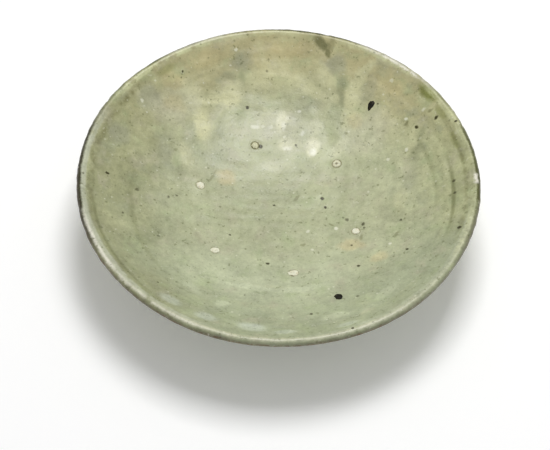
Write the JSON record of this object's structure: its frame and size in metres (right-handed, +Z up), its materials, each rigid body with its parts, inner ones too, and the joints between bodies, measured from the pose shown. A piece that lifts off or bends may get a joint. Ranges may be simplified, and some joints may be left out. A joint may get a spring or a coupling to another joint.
{
  "type": "ceramic plate",
  "caption": "Shallow round stoneware dish with a green ash glaze, a rounded lip, a foot ring and the stubs of kiln spurs in its well.",
  "frame": {"origin": "middle of the plane that the dish stands on", "axes": "+Z up along the axis of the dish; -Y towards the camera of the picture"},
  "size_m": [0.15, 0.15, 0.032],
  "materials": {
    "stoneware": "bare fired clay, matte and gritty",
    "green_glaze": "mottled sage and olive ash glaze, satin",
    "spur_clay": "pale coarse clay, matte",
    "iron_slag": "black melted iron slag, satin"
  },
  "bodies": {
    "root": {"clay_body": "stoneware", "foot_ring": "stoneware", "inner_glaze": "green_glaze", "outer_glaze": "green_glaze", "spur_stub_1": "spur_clay", "spur_stub_2": "spur_clay", "spur_stub_3": "spur_clay", "spur_stub_4": "spur_clay", "spur_stub_5": "spur_clay", "spur_stub_6": "spur_clay", "foot_stub_1": "spur_clay", "foot_stub_2": "spur_clay", "foot_stub_3": "spur_clay", "foot_stub_4": "spur_clay", "foot_stub_5": "spur_clay", "foot_stub_6": "spur_clay", "iron_nodule_1": "iron_slag", "iron_nodule_2": "iron_slag"}
  },
  "joints": []
}
